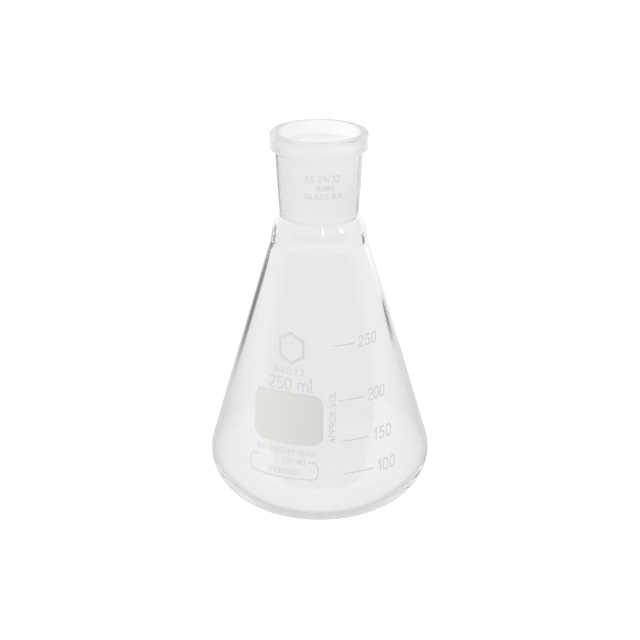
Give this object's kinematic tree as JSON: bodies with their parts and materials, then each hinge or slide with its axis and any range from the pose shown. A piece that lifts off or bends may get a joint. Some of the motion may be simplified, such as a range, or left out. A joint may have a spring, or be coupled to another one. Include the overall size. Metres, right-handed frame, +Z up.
{
  "type": "erlenmeyer flask",
  "caption": "Conical laboratory flask of clear glass with a rolled shoulder, a ground conical socket with a beaded rim, and a fired-on volume scale with a writing panel.",
  "frame": {"origin": "centre of the foot, on the surface that the flask stands on", "axes": "+Z up the flask's axis, out of the mouth; the printed scale and writing panel face -Y"},
  "size_m": [0.085, 0.085, 0.14],
  "materials": {
    "clear_glass": "clear, fire-polished",
    "ground_glass": "ground matt inside",
    "panel_enamel": "fired-on enamel, matt off-white",
    "print_enamel": "fired-on enamel, matt light grey"
  },
  "bodies": {
    "root": {"flask_body": "clear_glass", "ground_socket": "ground_glass", "writing_panel": "panel_enamel", "capacity_mark_1": "print_enamel", "capacity_mark_2": "print_enamel", "capacity_mark_3": "print_enamel", "capacity_mark_4": "print_enamel", "capacity_mark_5": "print_enamel", "code_box_outline": "print_enamel", "figure_100_1": "print_enamel", "figure_100_2": "print_enamel", "figure_100_3": "print_enamel", "figure_150_1": "print_enamel", "figure_150_2": "print_enamel", "figure_150_3": "print_enamel", "figure_200_1": "print_enamel", "figure_200_2": "print_enamel", "figure_200_3": "print_enamel", "figure_250_1": "print_enamel", "figure_250_2": "print_enamel", "figure_250_3": "print_enamel", "glass_type_mark_1": "print_enamel", "glass_type_mark_2": "print_enamel", "glass_type_mark_3": "print_enamel", "glass_type_mark_4": "print_enamel", "glass_type_mark_5": "print_enamel", "glass_type_mark_6": "print_enamel", "glass_type_mark_7": "print_enamel", "hexagon_emblem": "print_enamel", "scale_line_100": "print_enamel", "scale_line_150": "print_enamel", "scale_line_200": "print_enamel", "scale_line_250": "print_enamel", "volume_caption_1": "print_enamel", "volume_caption_10": "print_enamel", "volume_caption_11": "print_enamel", "volume_caption_2": "print_enamel", "volume_caption_3": "print_enamel", "volume_caption_4": "print_enamel", "volume_caption_5": "print_enamel", "volume_caption_6": "print_enamel", "volume_caption_7": "print_enamel", "volume_caption_8": "print_enamel", "volume_caption_9": "print_enamel"}
  },
  "joints": []
}
